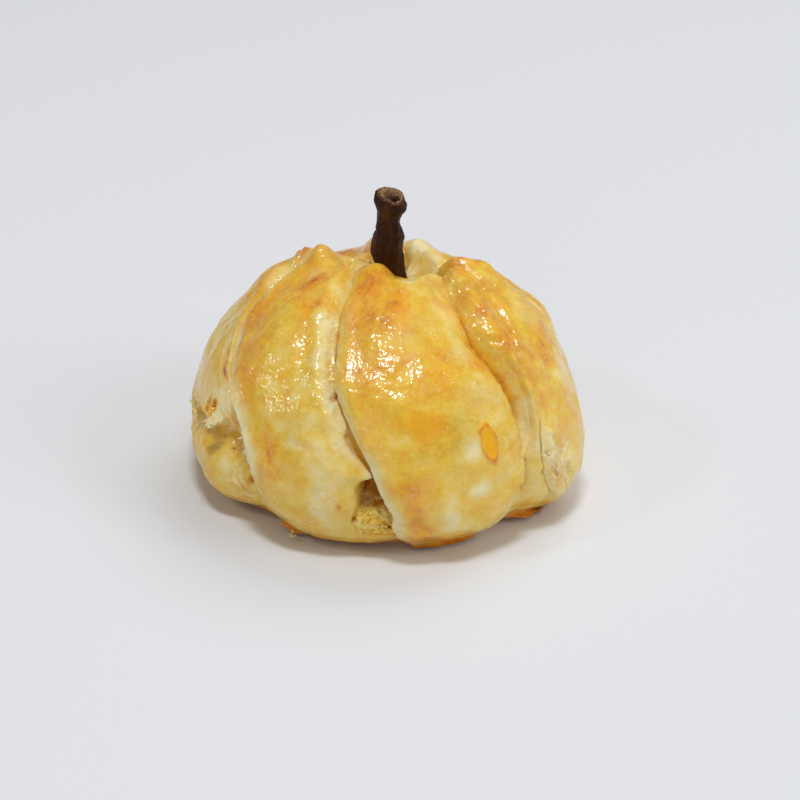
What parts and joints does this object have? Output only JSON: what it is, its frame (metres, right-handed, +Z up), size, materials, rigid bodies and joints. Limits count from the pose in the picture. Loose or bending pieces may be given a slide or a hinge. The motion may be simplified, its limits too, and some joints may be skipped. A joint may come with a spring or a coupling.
{
  "type": "pumpkin-shaped apple pie",
  "caption": "Small domed apple pie: lapped flaps of puff pastry round an apple filling, drawn up to a hollow at the top with a dark stem.",
  "frame": {"origin": "middle of the bounding box seen from above, at the level of the base", "axes": "+Z up, -Y towards the side with the gap in the pastry, which the picture shows"},
  "size_m": [0.103, 0.1054, 0.0784],
  "materials": {
    "crust": "baked puff pastry with a glaze of egg and sugar",
    "filling": "moist baked apple",
    "stem": "dark chocolate stick, satin"
  },
  "bodies": {
    "root": {"crust": "crust", "filling": "filling", "stem": "stem"}
  },
  "joints": []
}
